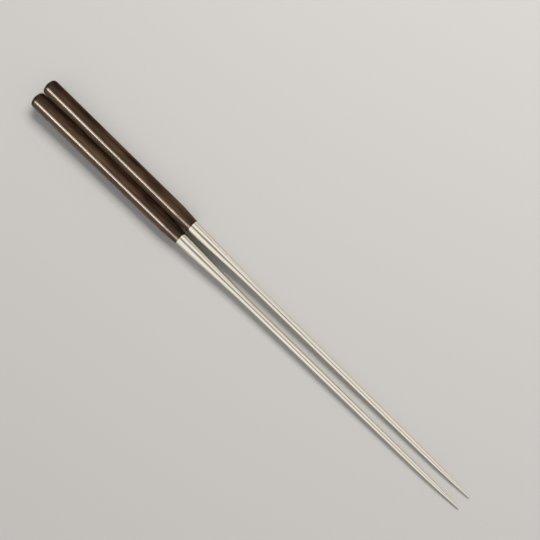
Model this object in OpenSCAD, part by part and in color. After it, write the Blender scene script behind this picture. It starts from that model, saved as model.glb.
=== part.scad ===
// Pair of plating chopsticks, each a round tapered steel rod glued into an octagonal ebony handle.
// All sizes are millimetres. +X runs from the butts to the tips and +Z is up. The origin is on
// the table, under the middle of the pair.
// A stick is drawn along +X with the joint between wood and steel at zero, then laid down.

/* [Rod] */
// Length of steel that shows, from the nose of the handle to the tip
rod_len = 180; // [140:1:260]
// Diameter where the steel meets the wood
root_d = 6.3; // [5:0.1:7.4]
// Length over which the root sweeps down into the slender taper
flare_len = 45; // [25:1:60]
// Diameter at the end of the flare
neck_d = 3.55; // [2.8:0.05:4.8]
// Diameter that the long taper would reach at the very tip
taper_end_d = 2.25; // [1.8:0.05:2.8]
// Length over which the taper rounds in to the tip
point_len = 30; // [10:1:60]
// Diameter of the rounded tip
tip_d = 0.7; // [0.4:0.1:1.5]
// Bevel around the edge of the root
root_edge = 0.15; // [0.05:0.05:0.4]

/* [Tang] */
// Diameter of the tang inside the handle
tang_d = 3.6; // [2.5:0.1:4.6]
// Length of the tang
tang_len = 52; // [20:1:64]
// Bevel around the end of the tang
tang_edge = 0.4; // [0.1:0.1:0.8]

/* [Handle] */
// Length of the handle
handle_len = 95; // [70:1:130]
// Width across the flats at the butt
butt_w = 8.1; // [7.4:0.1:10]
// Width across the flats at the front shoulder
shoulder_w = 7.8; // [7.7:0.1:9]
// How much less the handle measures across its corner facets than across its flats
corner_cut = 0.25; // [0:0.05:0.4]
// Length of the nose that narrows from the shoulder to the steel
nose_len = 9; // [6:0.5:20]
// Length over which the nose turns from eight-sided to round
nose_turn_len = 5; // [3:0.5:5.5]
// Radius of the rounding at the butt
butt_round = 2.2; // [0.5:0.1:3]
// Width of the eased ridge between two facets
ridge_w = 0.45; // [0.1:0.05:0.8]

/* [Fit] */
// Gap for glue around the tang
glue_gap = 0.05; // [0.02:0.01:0.15]
// Gap for glue beyond the end of the tang
bore_end_gap = 1; // [0.5:0.1:3]
// How far the wood stands proud of the steel around the joint
nose_step = 0.1; // [0.05:0.01:0.2]

/* [Laying down] */
// Smallest gap between the two handles
handle_gap = 0.1; // [0.05:0.05:5]
// Angle in degrees by which each stick leans towards the other at its tip
toe_in = 0.135; // [0:0.005:0.4]

/* [Hidden] */
$fn = 96;

// Which side of the middle a stick lies on
LEFT = 1;
RIGHT = -1;

// Number of steps in each curve of the outlines
flare_steps = 20;
point_steps = 10;
tip_steps = 4;
butt_steps = 6;

// Eight facets, and the ridge halfway between two of them
facet_angle = 45;
ridge_angle = facet_angle / 2;

// How much wider the round end of the nose is than its flats, so that the two only cross
turn_proud = 0.04;

// Steel outline: a straight taper, plus the flare at the root, less the rounding of the point
tip_r = tip_d / 2;
tip_x = rod_len - tip_r;
point_x = tip_x - point_len;
function taper_d(x) = neck_d + (taper_end_d - neck_d) * (x - flare_len) / (tip_x - flare_len);
function flare_d(x) = (root_d - taper_d(0)) * (1 + cos(180 * min(x / flare_len, 1))) / 2;
function point_d(x) = (taper_end_d - tip_d) * pow(max(x - point_x, 0) / point_len, 2);
function rod_r(x) = (taper_d(x) + flare_d(x) - point_d(x)) / 2;

rod_side = concat(
    [[root_d / 2 - root_edge, 0]],
    [for (i = [0 : flare_steps]) let (x = max(flare_len * i / flare_steps, root_edge)) [rod_r(x), x]],
    [for (i = [0 : point_steps]) let (x = point_x + point_len * i / point_steps) [rod_r(x), x]],
    [for (i = [1 : tip_steps]) let (a = 90 * i / tip_steps) [tip_r * cos(a), tip_x + tip_r * sin(a)]]
);
tang_side = [
    [0, -tang_len],
    [tang_d / 2 - tang_edge, -tang_len],
    [tang_d / 2, tang_edge - tang_len],
    [tang_d / 2, 0]
];

// Stations along the handle, each with the distances of its flats, corner facets and ridges
// from the axis: the steps of the rounded butt, then the shoulder, then the end of the nose
nose_w = root_d + 2 * nose_step;
butt_faces = face_distances(butt_w, corner_cut);
shoulder_faces = face_distances(shoulder_w, corner_cut);
nose_faces = face_distances(nose_w, 0);
ridge_in = [1, 1 / cos(ridge_angle), 1];
handle_stations = concat(
    [for (i = [0 : butt_steps]) let (a = 90 * i / butt_steps)
        [butt_round * (1 - cos(a)) - handle_len, butt_faces - butt_round * (1 - sin(a)) * ridge_in]],
    [[-nose_len, shoulder_faces], [0, nose_faces]]
);

// Distances from the axis of a flat, of the eased ridge beside it and of the next corner facet
function face_distances(w, cut) = let (flat = w / 2, corner = (w - cut) / 2) [
    flat,
    (flat + corner) / 2 / cos(ridge_angle) - ridge_w / 2 * tan(ridge_angle),
    corner
];

// Where two faces meet, from their distances to the axis and the directions that they look in
function face_meeting(d1, a1, d2, a2) =
    [d1 * sin(a2) - d2 * sin(a1), d2 * cos(a1) - d1 * cos(a2)] / sin(a2 - a1);

// Corners of the handle's section at a station
function handle_ring(station) = let (
    x = station[0],
    d = station[1],
    turn = [d[0], d[1], d[2], d[1]]
) [for (i = [0 : 4 * len(turn) - 1])
    let (p = face_meeting(turn[i % 4], ridge_angle * i, turn[(i + 1) % 4], ridge_angle * (i + 1)))
    [x, p[0], p[1]]];

// The cone that turns the nose round: it leaves the ridges at the start of the turned length
turn_share = nose_turn_len / nose_len;
turn_start_r = nose_faces[1] + (shoulder_faces[1] - nose_faces[1]) * turn_share;
turn_end_r = nose_w / 2 + turn_proud;
turn_slope = (turn_start_r - turn_end_r) / nose_turn_len;

// At rest a stick bears on the underside of its shoulder and on the steel near its tip
shoulder_half = shoulder_w / 2;
rest_slope = min([for (p = rod_side) (shoulder_half - p[0]) / (p[1] + nose_len)]);
rest_tilt = atan(rest_slope);
rest_lift = shoulder_half * cos(rest_tilt) - nose_len * sin(rest_tilt);

// The sticks lie side by side, closest at their shoulders or at their butts
grip_len = handle_len - butt_round - nose_len;
shoulder_spacing = handle_gap + max(shoulder_w, butt_w - 2 * grip_len * tan(toe_in));

// Ends of the laid stick, which put the origin under its middle
front_x = rod_len * cos(rest_tilt);
back_x = -handle_len * cos(rest_tilt) - (butt_w / 2 - butt_round) * sin(rest_tilt);
middle_x = (front_x + back_x) / 2;

// Turns an outline of radius and length about the stick's axis
module turned(outline) {
    rotate([0, 90, 0])
        rotate_extrude()
            polygon(outline);
}

// Steel rod and its tang, in one piece
module rod() {
    color("gainsboro")
        turned(concat(tang_side, rod_side));
}

// Solid through a row of rings that have the same number of corners
module lofted(rings) {
    n = len(rings[0]);
    last = len(rings) - 1;
    back = [for (j = [0 : n - 1]) j];
    sides = [for (i = [0 : last - 1]) for (j = [0 : n - 1]) let (k = (j + 1) % n)
        [i * n + j, (i + 1) * n + j, (i + 1) * n + k, i * n + k]];
    front = [for (j = [n - 1 : -1 : 0]) last * n + j];
    polyhedron([for (ring = rings) each ring], concat([back], sides, [front]));
}

// Cone around the nose, opening backwards until it is clear of the grip
module nose_cone() {
    clear_r = butt_w;
    turned([
        [0, -handle_len - 1],
        [clear_r, -handle_len - 1],
        [clear_r, -(clear_r - turn_end_r) / turn_slope],
        [turn_end_r - turn_slope, 1],
        [0, 1]
    ]);
}

// Blind hole for the tang
module tang_bore() {
    bore_r = tang_d / 2 + glue_gap;
    turned([
        [0, -tang_len - bore_end_gap],
        [bore_r, -tang_len - bore_end_gap],
        [bore_r, 1],
        [0, 1]
    ]);
}

// Ebony handle
module handle() {
    color([0.19, 0.13, 0.1])
        difference() {
            intersection() {
                lofted([for (station = handle_stations) handle_ring(station)]);
                nose_cone();
            }
            tang_bore();
        }
}

// Lays a stick on the table beside the middle line
module laid(side) {
    translate([-nose_len - middle_x, side * shoulder_spacing / 2, rest_lift])
        rotate([0, 0, -side * toe_in])
            translate([nose_len, 0, 0])
                rotate([0, rest_tilt, 0])
                    children();
}

module left_handle() {
    laid(LEFT) handle();
}

module left_rod() {
    laid(LEFT) rod();
}

module right_handle() {
    laid(RIGHT) handle();
}

module right_rod() {
    laid(RIGHT) rod();
}

left_handle();
left_rod();
right_handle();
right_rod();
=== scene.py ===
"""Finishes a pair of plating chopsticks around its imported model.

It makes finely rounded steel rods and ebony handles in the place of the plain ones, gives them
their finishes and sets up a plain studio. Lengths are metres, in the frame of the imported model:
+X runs from the butts to the tips, +Y is towards the left stick and the table is at zero height.
"""
import math

import bpy
from bpy.props import FloatProperty, FloatVectorProperty, IntProperty, PointerProperty
from mathutils import Matrix, Vector


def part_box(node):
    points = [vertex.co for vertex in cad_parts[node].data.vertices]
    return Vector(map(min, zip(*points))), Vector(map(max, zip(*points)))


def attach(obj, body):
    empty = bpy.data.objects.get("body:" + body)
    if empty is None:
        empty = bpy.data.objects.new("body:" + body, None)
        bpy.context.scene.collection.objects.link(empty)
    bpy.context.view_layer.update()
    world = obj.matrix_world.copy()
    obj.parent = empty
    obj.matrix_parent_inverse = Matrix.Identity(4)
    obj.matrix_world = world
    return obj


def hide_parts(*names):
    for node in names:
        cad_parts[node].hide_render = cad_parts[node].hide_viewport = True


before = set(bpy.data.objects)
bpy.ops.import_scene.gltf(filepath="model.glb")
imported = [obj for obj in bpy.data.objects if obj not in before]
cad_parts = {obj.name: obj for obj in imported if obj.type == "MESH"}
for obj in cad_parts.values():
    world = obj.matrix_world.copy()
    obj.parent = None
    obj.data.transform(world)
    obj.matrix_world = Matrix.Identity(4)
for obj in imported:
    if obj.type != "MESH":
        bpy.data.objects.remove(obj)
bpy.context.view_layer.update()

bl_info = {
    "name": "Plating Chopsticks",
    "version": (1, 0, 0),
    "blender": (4, 5, 0),
    "location": "View3D > Sidebar > Chopsticks",
    "description": "Makes a pair of steel plating chopsticks with octagonal ebony handles",
    "category": "Add Mesh",
}

BODY = "root"

# Each stick, by its name, with the side of the middle line that it lies on
SIDES = {"left": 1, "right": -1}

# The handle has eight facets
FACETS = 8
FACET_ANGLE = math.tau / FACETS

# How far a finished piece may be from the box of the part that it stands for
BOX_TOLERANCE = 0.00005

# Edges that turn by more than this stay crisp
CRISP_ANGLE = math.radians(40)

DEGREE = math.radians(1)
MILLIMETRES_PER_METRE = 1000

# Steps around each fine edge, and along the flare, the taper, the point and the tip of a rod
EDGE_STEPS = 5
FLARE_STEPS = 60
TAPER_STEPS = 50
POINT_STEPS = 40
TIP_STEPS = 8

# Steps around the rounding of the butt, and along the grip, the shoulder, the nose and the bore
BUTT_STEPS = 12
GRIP_STEPS = 48
SHOULDER_STEPS = 8
NOSE_STEPS = 28
BORE_STEPS = 6

# Rings on the flat end of the butt, as shares of its width
BUTT_RINGS = (0.35, 0.7)

# Steps across each crowned facet and around each rounded ridge
FACET_STEPS = 8
RIDGE_STEPS = 8

# How far the patterns are moved, one way on the left stick and the other way on the right one
EBONY_SHIFT = (0, 40, 17)
STEEL_SHIFT = (0, 23, 31)

# Where the polish of a ridge starts to fade and ends, as shares of the angle of a facet
RIDGE_FADE = (0.04, 0.36)

# Distances from the axis, in millimetres, between which the polish sets in on the end of the butt
BUTT_FADE = (2.2, 3.0)

# Places along the handle, in millimetres from the joint, between which the sheen falls from the
# butt to the middle, and then rises again to the nose
MIDDLE_FALL = (-95, -40)
NOSE_RISE = (-20, -4)

# Average of a pattern, which goes from nought to one
PATTERN_AVERAGE = 0.5

# Weight of each pattern in the figure of the wood
FIGURE = {"patches": 1.1, "bands": 1.0, "streaks": 0.8, "flecks": 0.7, "fibres": 0.4}
FIGURE_AVERAGE = sum(FIGURE.values()) * PATTERN_AVERAGE

# Figures, less their average and with the tone of the handle, that give the darkest and the
# lightest wood, and the lightness between them at which the wood has the colour of its body
FIGURE_RANGE = (0.1, 1.0)
BODY_LIGHTNESS = 0.45

# Values of a pattern between which a pore and an olive streak set in
PORE_EDGE = (0.60, 0.70)
OLIVE_EDGE = (0.50, 0.68)

# How far the olive streaks are moved from the other patterns, in cells of their own
OLIVE_SHIFT = (9, 3, 5)

# Least wax that wear leaves, and how much more there may be
WAX_LEAST = 0.6
WAX_SPREAD = 0.8

# How much rougher the wood is on a fibre and in a pore
FIBRE_ROUGHNESS = 0.16
PORE_ROUGHNESS = 0.12

# Height of a fibre, where a pore is one deep
FIBRE_HEIGHT = 0.35

# Weight of the polishing marks and of the finer hairs between them in the grain of the steel
MARK_WEIGHT = 0.6
HAIR_WEIGHT = 0.4

# Values of that grain at which the steel is dull and bright
GRAIN_RANGE = (0.3, 0.7)

# How much the roughness of the steel changes with its marks and with smudges
MARK_ROUGHNESS = 0.10
SMUDGE_ROUGHNESS = 0.08

# Where each light stands, the point that it faces, its length along and across the sticks, and
# its colour
KEY_LIGHT = {
    "place": (-0.2, 0.75, 0.9),
    "aim": (0, 0, 0),
    "size": (0.9, 0.5),
    "colour": (1, 0.97, 0.93),
}
STRIP_LIGHT = {
    "place": (-0.38, -1.06, 1.06),
    "aim": (-0.09, 0, 0),
    "size": (0.5, 1.5),
    "colour": (1, 0.87, 0.75),
}

# Room that polished things mirror: its brightness, and how much of it the two dark bands, the wide
# dim band overhead and its own two ends take away
ROOM_SHINE = 1.06
BAND_DARKNESS = 0.8
OVERHEAD_DIMMING = 0.2
END_DIMMING = 0.5

# Bands of that room, which run along the sticks: the middle of each, half its width and half the
# width of its soft edges, in degrees from straight up towards the left stick
OVERHEAD_BAND = {"middle": -3, "half": 9, "ease": 6}
BESIDE_BAND = {"middle": 62, "half": 9, "ease": 7}
DIM_BAND = {"middle": -6, "half": 22, "ease": 12}

# Degrees that the dark band overhead widens by towards the tips, before it pales by a share there,
# and the share that the dark one beside it pales by
WIDENING = 7
OVERHEAD_PALING = 0.35
BESIDE_PALING = 0.7

# Directions between which each of these sets in, and between which the ends of the room dim, by how
# far they lean: nought is straight across the sticks and one is straight along them to the tips
WIDENING_LEAN = (-0.09, 0)
OVERHEAD_LEAN = (0, 0.10)
BESIDE_LEAN = (-0.03, 0.05)
END_LEAN = (0.35, 0.9)

# Nearest distance that the camera sees
CAMERA_NEAR = 0.01

FLOOR_ROUGHNESS = 0.9

# Share of the floor's radius at which it starts to fade into the background
FLOOR_FADE = 1 / 5


def length(name, description, default):
    """A length in metres that the user may change."""
    return FloatProperty(
        name=name, description=description, default=default, min=0,
        unit="LENGTH", subtype="DISTANCE", precision=5,
    )


def tint(name, description, default):
    """A colour, as linear red, green and blue."""
    return FloatVectorProperty(
        name=name, description=description, default=default,
        min=0, max=1, size=3, subtype="COLOR",
    )


def share(name, description, default):
    """A number from nought to one."""
    return FloatProperty(
        name=name, description=description, default=default,
        min=0, max=1, subtype="FACTOR",
    )


def number(name, description, default, least=0):
    """A plain number, such as a brightness."""
    return FloatProperty(name=name, description=description, default=default, min=least)


class RodShape(bpy.types.PropertyGroup):
    """Sizes of a steel rod and of its tang"""

    rod_length: length("Rod length", "Steel that shows, from the handle to the tip", 0.180)
    root_width: length("Root diameter", "Diameter where the steel meets the wood", 0.0063)
    flare_length: length("Flare length", "Length over which the root sweeps into the taper", 0.045)
    neck_width: length("Neck diameter", "Diameter at the end of the flare", 0.00355)
    taper_end: length("Taper end", "Diameter that the taper would reach at the very tip", 0.00225)
    point_length: length("Point length", "Length over which the taper rounds in to the tip", 0.030)
    tip_width: length("Tip diameter", "Diameter of the rounded tip", 0.0007)
    root_edge: length("Root edge", "Rounding of the edge around the root", 0.00015)
    tang_width: length("Tang diameter", "Diameter of the tang inside the handle", 0.0036)
    tang_length: length("Tang length", "Length of the tang inside the handle", 0.052)
    tang_edge: length("Tang edge", "Bevel around the end of the tang", 0.0004)
    sides: IntProperty(name="Sides", description="Faces around a rod", default=96, min=24, max=256)


class HandleShape(bpy.types.PropertyGroup):
    """Sizes of an ebony handle"""

    handle_length: length("Handle length", "Length of the wood", 0.095)
    butt_width: length("Butt width", "Width across the flats at the butt", 0.0081)
    shoulder_width: length("Shoulder width", "Width across the flats at the shoulder", 0.0078)
    corner_cut: length("Corner cut", "How much less it measures across the corner facets", 0.00025)
    nose_length: length("Nose length", "Length that narrows from the shoulder to the steel", 0.009)
    turn_length: length("Turned length", "Length of nose that turns from eight sides to round", 0.005)
    butt_round: length("Butt rounding", "Radius of the rounding at the butt", 0.0022)
    facet_radius: length("Facet radius", "Radius of the slight crown across each facet", 0.017)
    ridge_radius: length("Ridge radius", "Radius of the rounded ridge between two facets", 0.00125)
    shoulder_ease: length("Shoulder easing", "Length over which the shoulder is eased", 0.0006)
    nose_step: length("Nose step", "How far the wood stands proud of the steel", 0.0001)
    nose_proud: length("Nose proud", "How much wider the turned end is than the planed one", 0.00004)
    turn_ease: length("Turned easing", "Depth over which the turned part is eased in", 0.00006)
    nose_edge: length("Nose edge", "Rounding of the edge around the end of the nose", 0.00008)
    glue_gap: length("Glue gap", "Gap for glue around the tang", 0.00005)
    bore_gap: length("Bore end gap", "Gap for glue beyond the end of the tang", 0.001)


class Laying(bpy.types.PropertyGroup):
    """How the two sticks lie beside each other"""

    handle_gap: length("Handle gap", "Smallest gap between the two handles", 0.0001)
    toe_in: FloatProperty(
        name="Toe-in", description="Angle by which each stick leans towards the other",
        default=math.radians(0.135), unit="ROTATION", subtype="ANGLE",
    )


class EbonyFinish(bpy.types.PropertyGroup):
    """Colours and sheen of the ebony"""

    heart: tint("Heart", "Darkest streaks of the wood", (0.006, 0.0028, 0.0017))
    body: tint("Body", "Most of the wood", (0.026, 0.0105, 0.0050))
    streak: tint("Streak", "Lighter brown streaks", (0.066, 0.035, 0.018))
    olive: tint("Olive", "Greenish grey streaks between the brown ones", (0.044, 0.036, 0.017))
    left_tone: share("Left tone", "Lightness of the left handle's wood", 0.50)
    right_tone: share("Right tone", "Lightness of the right handle's wood", 0.41)
    roughness: share("Roughness", "Roughness of the waxed wood", 0.55)
    ridge_roughness: share("Ridge roughness", "Roughness of the hand-polished ridges", 0.5)
    gloss: share("Gloss", "How much the bare wood mirrors", 0.048)
    sheen: tint("Sheen", "Colour of what the bare wood mirrors", (1, 0.78, 0.55))
    ridge_wax: share("Ridge wax", "Strength of the sheen on the ridges near the butt", 0.28)
    middle_wax: share("Middle wax", "Share of that sheen left along the middle", 0.75)
    nose_wax: share("Nose wax", "Share of that sheen left on the nose", 0.95)
    facet_wax: share("Facet wax", "Share of the ridges' sheen that the facets have", 0.10)
    wax_roughness: share("Wax roughness", "Roughness of the wax", 0.36)
    olive_share: share("Olive share", "How much of the olive its streaks show", 0.7)
    pore_share: share("Pore share", "How much of the heart's colour the pores show", 0.55)
    relief: length("Relief", "Depth of the pores", 0.00003)
    relief_share: share("Relief share", "How much of that relief shows", 0.35)


class SteelFinish(bpy.types.PropertyGroup):
    """Colour and polish of the steel"""

    # The steel's own slightly warm colours, with a painted warm cast added for the warm surroundings
    # that the polished steel mirrors
    bright: tint("Bright", "Polished steel", (0.89, 0.83, 0.72))
    dull: tint("Dull", "Steel between the polishing marks", (0.69, 0.635, 0.54))
    roughness: share("Roughness", "Roughness of the polished steel", 0.18)
    relief: length("Relief", "Depth of the polishing marks", 0.00002)
    relief_share: share("Relief share", "How much of that relief shows", 0.30)


class Studio(bpy.types.PropertyGroup):
    """Camera, light and floor"""

    camera_place: FloatVectorProperty(
        name="Camera place", description="Where the camera stands",
        default=(0.02173, 0.01961, 0.50128), size=3, unit="LENGTH", subtype="TRANSLATION",
    )
    camera_aim: FloatVectorProperty(
        name="Camera aim", description="Point on the table in the middle of the picture",
        default=(-0.00211, 0.01454, 0), size=3, unit="LENGTH", subtype="TRANSLATION",
    )
    camera_turn: FloatProperty(
        name="Camera turn", description="Angle from +Y to the direction that is up in the picture",
        default=math.radians(44.25), unit="ROTATION", subtype="ANGLE",
    )
    lens: number("Lens", "Focal length in millimetres", 71.3, least=1)
    floor: tint("Floor", "Colour of the floor", (0.57, 0.56, 0.545))
    floor_radius: length("Floor radius", "Where the floor has faded into the background", 1.4)
    room_light: number("Room light", "Strength of the even light of the room", 0.45)
    key_light: number("Key light", "Brightness of the large soft light", 9)
    strip_light: number("Strip light", "Brightness of the light that glints on the wood", 150)


def rod_outline(rod):
    """Places along a rod and its radius there, from the end of the tang to the tip."""
    tip_r = rod.tip_width / 2
    tip_x = rod.rod_length - tip_r
    point_x = tip_x - rod.point_length
    straight = (rod.taper_end - rod.neck_width) / (tip_x - rod.flare_length)

    def taper(x):
        return rod.neck_width + straight * (x - rod.flare_length)

    def radius(x):
        flared = (1 + math.cos(math.pi * min(x / rod.flare_length, 1))) / 2
        flare = (rod.root_width - taper(0)) * flared
        rounding = (rod.taper_end - rod.tip_width) * (max(x - point_x, 0) / rod.point_length) ** 2
        return (taper(x) + flare - rounding) / 2

    tang_r = rod.tang_width / 2
    edge = rod.root_edge
    tang = [
        (-rod.tang_length, tang_r - rod.tang_edge),
        (rod.tang_edge - rod.tang_length, tang_r),
        (0, tang_r),
    ]
    root = [
        (edge * (1 - math.cos(a)), rod.root_width / 2 - edge * (1 - math.sin(a)))
        for a in steps(0, math.pi / 2, EDGE_STEPS)
    ]
    shank = [(x, radius(x)) for x in steps(edge, rod.flare_length, FLARE_STEPS)[1:]]
    shank += [(x, radius(x)) for x in steps(rod.flare_length, point_x, TAPER_STEPS)[1:]]
    shank += [(x, radius(x)) for x in steps(point_x, tip_x, POINT_STEPS)[1:]]
    tip = [
        (tip_x + tip_r * math.sin(a), tip_r * math.cos(a))
        for a in steps(0, math.pi / 2, TIP_STEPS)[1:-1]
    ]
    return tang + root + shank + tip


def steps(start, end, count):
    """Evenly spaced numbers from start to end, with both of them."""
    return [start + (end - start) * i / count for i in range(count + 1)]


def circle(x, radius, angles):
    """Ring around the stick's axis."""
    return [Vector((x, radius * math.cos(a), radius * math.sin(a))) for a in angles]


def laid(side, scene):
    """Matrix that lays a stick on the table: on its shoulder and its point, beside the other one."""
    rod, handle, laying = scene.rod_shape, scene.handle_shape, scene.laying
    half = handle.shoulder_width / 2
    slope = min((half - r) / (x + handle.nose_length) for x, r in rod_outline(rod) if x >= 0)
    tilt = math.atan(slope)
    lift = half * math.cos(tilt) - handle.nose_length * math.sin(tilt)
    grip = handle.handle_length - handle.butt_round - handle.nose_length
    narrowest = handle.butt_width - 2 * grip * math.tan(laying.toe_in)
    spacing = laying.handle_gap + max(handle.shoulder_width, narrowest)
    front = rod.rod_length * math.cos(tilt)
    butt_r = handle.butt_width / 2 - handle.butt_round
    back = -handle.handle_length * math.cos(tilt) - butt_r * math.sin(tilt)
    middle = (front + back) / 2
    return (
        Matrix.Translation((-handle.nose_length - middle, side * spacing / 2, lift))
        @ Matrix.Rotation(-side * laying.toe_in, 4, "Z")
        @ Matrix.Translation((handle.nose_length, 0, 0))
        @ Matrix.Rotation(tilt, 4, "Y")
    )


def ring_at(x, ring):
    """The same ring at another place along the stick's axis."""
    return [Vector((x, p.y, p.z)) for p in ring]


def spoke(angle, distance):
    """Point at a distance from the stick's axis, in a direction around it."""
    return Vector((0, distance * math.cos(angle), distance * math.sin(angle)))


def bearing(vector):
    """Direction of a vector around the stick's axis."""
    return math.atan2(vector.z, vector.y)


def eight_sided(x, flat, corner, facet_r, ridge_r):
    """Ring of crowned facets, at two distances from the axis by turns, and of the ridges between."""
    reach = [flat, corner] * (FACETS // 2)
    facets = [spoke(FACET_ANGLE * i, reach[i] - facet_r) for i in range(FACETS)]
    ridges = []
    for i in range(FACETS):
        start, end = facets[i], facets[(i + 1) % FACETS]
        apart = (end - start).length / 2
        away = math.sqrt((facet_r - ridge_r) ** 2 - apart ** 2)
        ridges.append((start + end) / 2 + spoke(FACET_ANGLE * (i + 0.5), away))
    ring = []
    for i in range(FACETS):
        angle = FACET_ANGLE * i
        start = turned_near(bearing(ridges[i - 1] - facets[i]), angle)
        end = turned_near(bearing(ridges[i] - facets[i]), angle)
        after = turned_near(bearing(ridges[i] - facets[(i + 1) % FACETS]), angle)
        ring += [facets[i] + spoke(a, facet_r) for a in steps(start, end, FACET_STEPS)[:-1]]
        ring += [ridges[i] + spoke(a, ridge_r) for a in steps(end, after, RIDGE_STEPS)[:-1]]
    return ring_at(x, ring)


def turned_near(angle, near):
    """The same angle, less than half a turn away from another one."""
    return near + math.remainder(angle - near, math.tau)


def soft_min(a, b, width):
    """The smaller of two numbers, eased where they are closer than width."""
    near = max(width - abs(a - b), 0) / width
    return min(a, b) - near * near * width / 4


def handle_rings(handle, rod):
    """Rings from the middle of the butt, along the wood, over the nose and back down the bore."""
    butt = handle.butt_width / 2
    shoulder = handle.shoulder_width / 2
    nose = rod.root_width / 2 + handle.nose_step
    cut = handle.corner_cut / 2
    butt_x = handle.butt_round - handle.handle_length
    shoulder_x = -handle.nose_length
    grip_slope = (shoulder - butt) / (shoulder_x - butt_x)
    nose_slope = (nose - shoulder) / handle.nose_length
    ease = handle.shoulder_ease

    def planed(x, inset):
        grip = shoulder + grip_slope * (x - shoulder_x)
        narrowing = shoulder + nose_slope * (x - shoulder_x)
        flat = soft_min(grip, narrowing, ease * abs(nose_slope - grip_slope)) - inset
        corner = flat - cut * min(1, -x / handle.nose_length)
        return eight_sided(x, flat, corner, handle.facet_radius, handle.ridge_radius)

    turn_start = max(math.hypot(p.y, p.z) for p in planed(-handle.turn_length, 0))
    turn_end = nose + handle.nose_proud
    turn_slope = (turn_start - turn_end) / handle.turn_length

    def section(x, inset=0.0):
        turned_r = turn_end - turn_slope * x - inset
        return [in_cone(p, turned_r, handle.turn_ease) for p in planed(x, inset)]

    butt_ring = section(butt_x, handle.butt_round)
    rings = [
        [Vector((-handle.handle_length, p.y * t, p.z * t)) for p in butt_ring]
        for t in BUTT_RINGS
    ]
    for a in steps(0, math.pi / 2, BUTT_STEPS):
        x = handle.butt_round * (1 - math.cos(a)) - handle.handle_length
        rings.append(ring_at(x, section(butt_x, handle.butt_round * (1 - math.sin(a)))))
    edge = handle.nose_edge
    rings += [section(x) for x in steps(butt_x, shoulder_x - ease, GRIP_STEPS)[1:]]
    rings += [section(x) for x in steps(shoulder_x - ease, shoulder_x + ease, SHOULDER_STEPS)[1:]]
    rings += [section(x) for x in steps(shoulder_x + ease, -edge, NOSE_STEPS)[1:]]
    for a in steps(0, math.pi / 2, EDGE_STEPS)[1:]:
        x = -edge * (1 - math.sin(a))
        rings.append(ring_at(x, section(-edge, edge * (1 - math.cos(a)))))
    angles = [bearing(p) for p in rings[-1]]
    bore_r = rod.tang_width / 2 + handle.glue_gap
    bore_end = -rod.tang_length - handle.bore_gap
    rings += [circle(x, bore_r, angles) for x in steps(0, bore_end, BORE_STEPS)]
    return rings


def in_cone(point, radius, ease):
    """The point, drawn in towards the axis where it lies outside a turned radius."""
    reach = math.hypot(point.y, point.z)
    drawn = soft_min(reach, radius, ease) / reach
    return Vector((point.x, point.y * drawn, point.z * drawn))


def skinned(name, rings, matrix):
    """A closed mesh through a row of rings, with a point in the middle of each end."""
    count = len(rings[0])
    points = [p for ring in rings for p in ring]
    first = len(points)
    points += [Vector((rings[0][0].x, 0, 0)), Vector((rings[-1][0].x, 0, 0))]
    last_ring = first - count
    faces = []
    for j in range(count):
        k = (j + 1) % count
        faces.append((first, k, j))
        faces.append((first + 1, last_ring + j, last_ring + k))
        for i in range(0, last_ring, count):
            faces.append((i + j, i + k, i + count + k, i + count + j))
    mesh = bpy.data.meshes.new(name)
    mesh.from_pydata([matrix @ p for p in points], [], faces)
    if mesh.validate():
        raise RuntimeError(f"{name} has faces that aren't valid")
    mesh.shade_smooth()
    mesh.set_sharp_from_angle(angle=CRISP_ANGLE)
    return mesh


def placed(name, mesh, material, node):
    """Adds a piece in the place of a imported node, once its box agrees with that node's."""
    low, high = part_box(node)
    for axis in range(3):
        values = [v.co[axis] for v in mesh.vertices]
        miss = max(abs(min(values) - low[axis]), abs(max(values) - high[axis]))
        if miss > BOX_TOLERANCE:
            off = miss * MILLIMETRES_PER_METRE
            raise RuntimeError(f"{name} is {off:.3f} mm off {node} along axis {axis}")
    piece = bpy.data.objects.new(name, mesh)
    bpy.context.scene.collection.objects.link(piece)
    mesh.materials.append(material)
    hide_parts(node)
    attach(piece, BODY)


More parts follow.
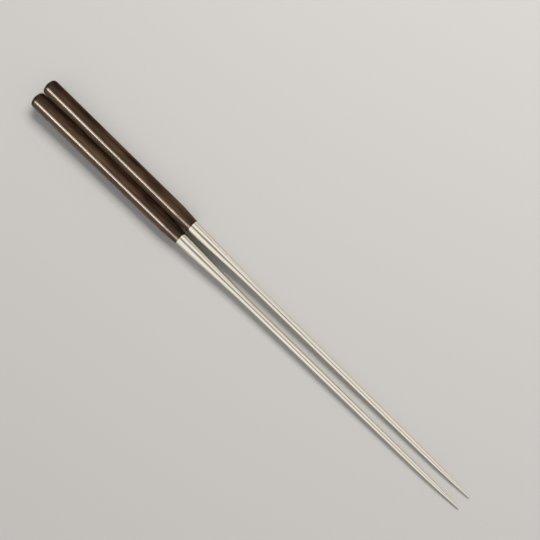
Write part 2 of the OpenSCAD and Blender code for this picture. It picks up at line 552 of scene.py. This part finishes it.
class Wire:
    """An output socket of a node tree. Sums on it add the nodes that work them out."""

    def __init__(self, tree, socket=None):
        self.tree = tree
        self.socket = socket

    def node(self, kind, settings=None, inputs=None):
        """Adds a node: its settings are set first, then its sockets' values or links."""
        made = self.tree.nodes.new(kind)
        for key, value in (settings or {}).items():
            if key == "stops":
                ramp = made.color_ramp.elements
                while len(ramp) < len(value):
                    ramp.new(1)
                for stop, (position, colour) in zip(ramp, value):
                    stop.position = position
                    stop.color = (*colour, 1)
            else:
                setattr(made, key, value)
        for key, value in (inputs or {}).items():
            if isinstance(value, Wire):
                self.tree.links.new(value.socket, made.inputs[key])
            else:
                made.inputs[key].default_value = value
        return Wire(self.tree, made.outputs[0] if made.outputs else None)

    def output(self, name):
        """Another output of the node that this wire comes from."""
        return Wire(self.tree, self.socket.node.outputs[name])

    def sum(self, operation, first, second):
        """Works a sum out with Vector Math where this socket is a vector, and with Math elsewhere."""
        kind = "ShaderNodeVectorMath" if self.socket.type == "VECTOR" else "ShaderNodeMath"
        return self.node(kind, {"operation": operation}, {0: first, 1: second})

    def __add__(self, other):
        return self.sum("ADD", self, other)

    def __radd__(self, other):
        return self.sum("ADD", other, self)

    def __sub__(self, other):
        return self.sum("SUBTRACT", self, other)

    def __rsub__(self, other):
        return self.sum("SUBTRACT", other, self)

    def __mul__(self, other):
        return self.sum("MULTIPLY", self, other)

    def __rmul__(self, other):
        return self.sum("MULTIPLY", other, self)

    def above(self, low, high):
        """Rises smoothly from nought to one as this value goes from low to high."""
        return self.node(
            "ShaderNodeMapRange", {"interpolation_type": "SMOOTHSTEP"},
            {"Value": self, "From Min": low, "From Max": high},
        )

    def blend(self, dark, light):
        """Goes from one colour to another as this value goes from nought to one."""
        mixed = self.node(
            "ShaderNodeMix", {"data_type": "RGBA"}, {"Factor": self, "A": dark, "B": light},
        )
        return mixed.output("Result")

    def noise(self, detail=2, distortion=0):
        """Noise at this place, with cells about one unit across."""
        return self.node(
            "ShaderNodeTexNoise", {},
            {"Vector": self, "Scale": 1, "Detail": detail, "Distortion": distortion},
        )

    def grain(self, along, across):
        """This place as cells of a pattern, given how many there are to a millimetre each way."""
        return self * (along, across, across)

    def absolute(self):
        """This value without its sign."""
        return self.node("ShaderNodeMath", {"operation": "ABSOLUTE"}, {0: self})

    def size(self):
        """Length of this vector."""
        return self.node("ShaderNodeVectorMath", {"operation": "LENGTH"}, {0: self}).output("Value")


def new_material(name):
    """A material without nodes, and a wire from which its tree starts."""
    material = bpy.data.materials.new(name)
    material.use_nodes = True
    material.node_tree.nodes.clear()
    return material, Wire(material.node_tree)


def stick_place(start, side, scene):
    """Place on a stick as it is before it is laid, with the joint at zero, in millimetres."""
    coordinates = start.node("ShaderNodeTexCoord").output("Object")
    back = laid(side, scene).inverted()
    drawn = start.node(
        "ShaderNodeMapping", {"vector_type": "POINT"},
        {"Vector": coordinates, "Location": back.to_translation(), "Rotation": back.to_euler()},
    )
    return drawn * ((MILLIMETRES_PER_METRE,) * 3)


def moved(place, shift, side):
    """The place, moved one way for each stick, so that their patterns differ."""
    return place + tuple(side * way for way in shift)


def on_ridge(place):
    """One along the eased ridges of the grip and nought on its facets and on the end of the butt."""
    across = place.node("ShaderNodeSeparateXYZ", {}, {"Vector": place})
    y, z = across.output("Y"), across.output("Z")
    angle = place.node("ShaderNodeMath", {"operation": "ARCTAN2"}, {0: z, 1: y})
    facet = angle * (1 / FACET_ANGLE)
    past_middle = place.node("ShaderNodeMath", {"operation": "FRACT"}, {0: facet})
    off = (past_middle - 0.5).absolute()
    reach = (place * (0, 1, 1)).size()
    return (1 - off.above(*RIDGE_FADE)) * reach.above(*BUTT_FADE)


def along_taper(place):
    """Place along a round piece and its direction from the axis, so that marks follow a taper."""
    across = place * (0, 1, 1)
    around = place.node("ShaderNodeVectorMath", {"operation": "NORMALIZE"}, {0: across})
    return place * (1, 0, 0) + around


def rgba(colour):
    """A colour with full opacity."""
    return (*colour, 1)


def surface(start, sockets, faded=None):
    """Adds the surface shader, which a faded share of the surface goes without, and the output."""
    shader = start.node("ShaderNodeBsdfPrincipled", {}, sockets)
    if faded:
        clear = start.node("ShaderNodeBsdfTransparent")
        shader = start.node("ShaderNodeMixShader", {}, {0: faded, 1: shader, 2: clear})
    start.node("ShaderNodeOutputMaterial", {}, {"Surface": shader})


def raised(height, look):
    """Relief of a finish, from a height between nought and one."""
    return height.node(
        "ShaderNodeBump", {},
        {"Strength": look.relief_share, "Distance": look.relief, "Height": height},
    )


def ebony(name, side, scene):
    """Dark streaked hardwood with fine pores, waxed to a satin sheen."""
    look = scene.ebony_finish
    tone = look.left_tone if side > 0 else look.right_tone
    material, start = new_material(name)
    drawn = stick_place(start, side, scene)
    ridge = on_ridge(drawn)
    place = moved(drawn, EBONY_SHIFT, side)
    patches = place.grain(along=0.055, across=0.12).noise(detail=1, distortion=0.5)
    bands = place.grain(along=0.016, across=0.30).noise(detail=1, distortion=0.6)
    streaks = place.grain(along=0.030, across=0.85).noise(detail=3, distortion=0.5)
    fibres = place.grain(along=0.09, across=4.2).noise(detail=3)
    flecks = place.grain(along=0.22, across=2.4).noise()
    pores = place.grain(along=0.45, across=6.5).noise(detail=1).above(*PORE_EDGE)
    elsewhere = place.grain(along=0.04, across=0.45) + OLIVE_SHIFT
    green = elsewhere.noise(distortion=0.3).above(*OLIVE_EDGE)
    figure = patches * FIGURE["patches"] + bands * FIGURE["bands"]
    figure = figure + streaks * FIGURE["streaks"] + flecks * FIGURE["flecks"]
    figure = figure + fibres * FIGURE["fibres"]
    lightness = (figure - FIGURE_AVERAGE + tone).above(*FIGURE_RANGE)
    wood = start.node(
        "ShaderNodeValToRGB",
        {"stops": [(0.0, look.heart), (BODY_LIGHTNESS, look.body), (1.0, look.streak)]},
        {"Fac": lightness},
    )
    mixed = (green * look.olive_share * lightness).blend(wood, rgba(look.olive))
    pored = (pores * look.pore_share).blend(mixed, rgba(look.heart))
    along = start.node("ShaderNodeSeparateXYZ", {}, {"Vector": drawn})
    polish = 1 - (1 - look.middle_wax) * along.above(*MIDDLE_FALL)
    polish = polish + (look.nose_wax - look.middle_wax) * along.above(*NOSE_RISE)
    worn = WAX_LEAST + place.grain(along=0.045, across=0.2).noise() * WAX_SPREAD
    wax = (look.facet_wax + ridge * (1 - look.facet_wax)) * worn * polish
    rubbed = look.roughness + ridge * (look.ridge_roughness - look.roughness)
    roughness = rubbed + (fibres - PATTERN_AVERAGE) * FIBRE_ROUGHNESS + pores * PORE_ROUGHNESS
    surface(start, {
        "Base Color": pored,
        "Roughness": roughness,
        "Specular IOR Level": look.gloss,
        "Specular Tint": rgba(look.sheen),
        "Normal": raised(fibres * FIBRE_HEIGHT - pores, look),
        "Coat Weight": wax * look.ridge_wax,
        "Coat Roughness": look.wax_roughness,
    })
    return material


def steel(name, side, scene):
    """Stainless steel, ground and polished along its length."""
    look = scene.steel_finish
    material, start = new_material(name)
    place = moved(along_taper(stick_place(start, side, scene)), STEEL_SHIFT, side)
    marks = place.grain(along=0.02, across=6.5).noise(detail=3)
    hairs = place.grain(along=0.08, across=30).noise()
    smudges = place.grain(along=0.06, across=0.8).noise()
    ground = marks * MARK_WEIGHT + hairs * HAIR_WEIGHT
    varied = (marks - PATTERN_AVERAGE) * MARK_ROUGHNESS
    varied = varied + (smudges - PATTERN_AVERAGE) * SMUDGE_ROUGHNESS
    surface(start, {
        # Base colour of the steel, which carries that painted warm cast
        "Base Color": ground.above(*GRAIN_RANGE).blend(rgba(look.dull), rgba(look.bright)),
        "Metallic": 1,
        "Roughness": look.roughness + varied,
        "Normal": raised(ground, look),
    })
    return material


def paint(name, colour, roughness, radius):
    """Plain matt paint for the floor, which fades into the background at a radius."""
    material, start = new_material(name)
    reach = start.node("ShaderNodeTexCoord").output("Object").size()
    faded = reach.above(radius * FLOOR_FADE, radius)
    surface(start, {"Base Color": rgba(colour), "Roughness": roughness}, faded)
    return material


class SteelRods(bpy.types.Operator):
    """Make the two round tapered steel rods with their tangs"""

    bl_idname = "chopsticks.steel_rods"
    bl_label = "Steel Rods"

    def execute(self, context):
        scene = context.scene
        rod = scene.rod_shape
        angles = [math.tau * i / rod.sides for i in range(rod.sides)]
        rings = [circle(x, r, angles) for x, r in rod_outline(rod)]
        for name, side in SIDES.items():
            mesh = skinned(f"{name}_steel", rings, laid(side, scene))
            finish = steel(f"{name} polished steel", side, scene)
            placed(f"{name}_steel", mesh, finish, f"{name}_rod")
        return {"FINISHED"}


class EbonyHandles(bpy.types.Operator):
    """Make the two octagonal ebony handles"""

    bl_idname = "chopsticks.ebony_handles"
    bl_label = "Ebony Handles"

    def execute(self, context):
        scene = context.scene
        rings = handle_rings(scene.handle_shape, scene.rod_shape)
        for name, side in SIDES.items():
            mesh = skinned(f"{name}_ebony", rings, laid(side, scene))
            finish = ebony(f"{name} waxed ebony", side, scene)
            placed(f"{name}_ebony", mesh, finish, f"{name}_handle")
        return {"FINISHED"}


def make_floor(studio):
    """A wide pale floor, on which the sticks lie."""
    half = studio.floor_radius
    mesh = bpy.data.meshes.new("floor")
    corners = [(-half, -half, 0), (half, -half, 0), (half, half, 0), (-half, half, 0)]
    mesh.from_pydata(corners, [], [(0, 1, 2, 3)])
    mesh.materials.append(paint("pale floor", studio.floor, FLOOR_ROUGHNESS, half))
    floor = bpy.data.objects.new("floor", mesh)
    bpy.context.scene.collection.objects.link(floor)


def make_camera(studio):
    """The camera, looking almost straight down, with the sticks across the picture's diagonal."""
    camera = bpy.data.objects.new("camera", bpy.data.cameras.new("camera"))
    bpy.context.scene.collection.objects.link(camera)
    bpy.context.scene.camera = camera
    camera.data.lens = studio.lens
    camera.data.clip_start = CAMERA_NEAR
    place = Vector(studio.camera_place)
    back = (place - Vector(studio.camera_aim)).normalized()
    up = Vector((-math.sin(studio.camera_turn), math.cos(studio.camera_turn), 0))
    right = up.cross(back).normalized()
    columns = Matrix((right, back.cross(right), back)).transposed()
    camera.matrix_world = Matrix.Translation(place) @ columns.to_4x4()


def add_light(name, brightness, place, aim, size, colour):
    """A rectangular light that faces a point, with its first side along the sticks.

    Its face is equally bright whatever its size.
    """
    lamp = bpy.data.lights.new(name, "AREA")
    lamp.shape = "RECTANGLE"
    lamp.size, lamp.size_y = size
    lamp.color = colour
    lamp.energy = brightness * math.pi * size[0] * size[1]
    light = bpy.data.objects.new(name, lamp)
    bpy.context.scene.collection.objects.link(light)
    back = (Vector(place) - Vector(aim)).normalized()
    along = Vector((1, 0, 0))
    across = back.cross(along).normalized()
    columns = Matrix((across.cross(back), across, back)).transposed()
    light.matrix_world = Matrix.Translation(place) @ columns.to_4x4()
    light.visible_camera = False
    return light


def make_room(studio):
    """Even light all around. Polished things see a pale room, with dark bands along the sticks."""
    world = bpy.data.worlds.new("room")
    bpy.context.scene.world = world
    world.use_nodes = True
    world.node_tree.nodes.clear()
    start = Wire(world.node_tree)
    direction = start.node("ShaderNodeTexCoord").output("Generated")
    split = start.node("ShaderNodeSeparateXYZ", {}, {"Vector": direction})
    tipward = split.output("X")
    angle = start.node(
        "ShaderNodeMath", {"operation": "ARCTAN2"}, {0: split.output("Y"), 1: split.output("Z")},
    )

    def band(middle, half, ease, widening=0):
        """One within a band of directions and nought outside it."""
        off = (angle - middle * DEGREE).absolute()
        edge = half + widening
        return 1 - off.above((edge - ease) * DEGREE, (edge + ease) * DEGREE)

    overhead = band(**OVERHEAD_BAND, widening=WIDENING * tipward.above(*WIDENING_LEAN))
    overhead = overhead * (1 - OVERHEAD_PALING * tipward.above(*OVERHEAD_LEAN))
    beside = band(**BESIDE_BAND) * (1 - BESIDE_PALING * tipward.above(*BESIDE_LEAN))
    dim = band(**DIM_BAND)
    ends = tipward.absolute().above(*END_LEAN)
    shine = (1 - BAND_DARKNESS * overhead) * (1 - BAND_DARKNESS * beside)
    shine = shine * (ROOM_SHINE - OVERHEAD_DIMMING * dim) * (1 - END_DIMMING * ends)
    path = start.node("ShaderNodeLightPath")
    camera = path.output("Is Camera Ray")
    glossy = path.output("Is Glossy Ray")
    strength = (1 - camera) * ((1 - glossy) * studio.room_light + glossy * shine) + camera
    background = start.node("ShaderNodeBackground", {}, {"Color": (1, 1, 1, 1), "Strength": strength})
    start.node("ShaderNodeOutputWorld", {}, {"Surface": background})


class Stage(bpy.types.Operator):
    """Set up the floor, the room, the lights and the camera"""

    bl_idname = "chopsticks.stage"
    bl_label = "Stage"

    def execute(self, context):
        studio = context.scene.studio
        make_floor(studio)
        make_room(studio)
        make_camera(studio)
        key = add_light("key light", studio.key_light, **KEY_LIGHT)
        key.visible_glossy = False
        strip = add_light("strip light", studio.strip_light, **STRIP_LIGHT)
        strip.visible_diffuse = False
        wood = bpy.data.collections.new("wood")
        for name in SIDES:
            wood.objects.link(bpy.data.objects[f"{name}_ebony"])
        strip.light_linking.receiver_collection = wood
        context.scene.view_settings.view_transform = "Standard"
        return {"FINISHED"}


class ChopsticksPanel(bpy.types.Panel):
    """The steps that make the chopsticks, in the sidebar"""

    bl_idname = "VIEW3D_PT_chopsticks"
    bl_label = "Plating Chopsticks"
    bl_space_type = "VIEW_3D"
    bl_region_type = "UI"
    bl_category = "Chopsticks"

    def draw(self, context):
        for operator in OPERATORS:
            self.layout.operator(operator.bl_idname)


OPERATORS = (SteelRods, EbonyHandles, Stage)
SETTINGS = {
    "rod_shape": RodShape,
    "handle_shape": HandleShape,
    "laying": Laying,
    "ebony_finish": EbonyFinish,
    "steel_finish": SteelFinish,
    "studio": Studio,
}


def register():
    """Registers the settings, the operators and the panel."""
    for name, group in SETTINGS.items():
        bpy.utils.register_class(group)
        setattr(bpy.types.Scene, name, PointerProperty(type=group))
    for operator in OPERATORS:
        bpy.utils.register_class(operator)
    bpy.utils.register_class(ChopsticksPanel)


def unregister():
    """Undoes register."""
    bpy.utils.unregister_class(ChopsticksPanel)
    for operator in reversed(OPERATORS):
        bpy.utils.unregister_class(operator)
    for name, group in SETTINGS.items():
        delattr(bpy.types.Scene, name)
        bpy.utils.unregister_class(group)


def main():
    """Makes the pieces and the stage."""
    register()
    bpy.ops.chopsticks.steel_rods()
    bpy.ops.chopsticks.ebony_handles()
    bpy.ops.chopsticks.stage()


if __name__ == "__main__":
    main()
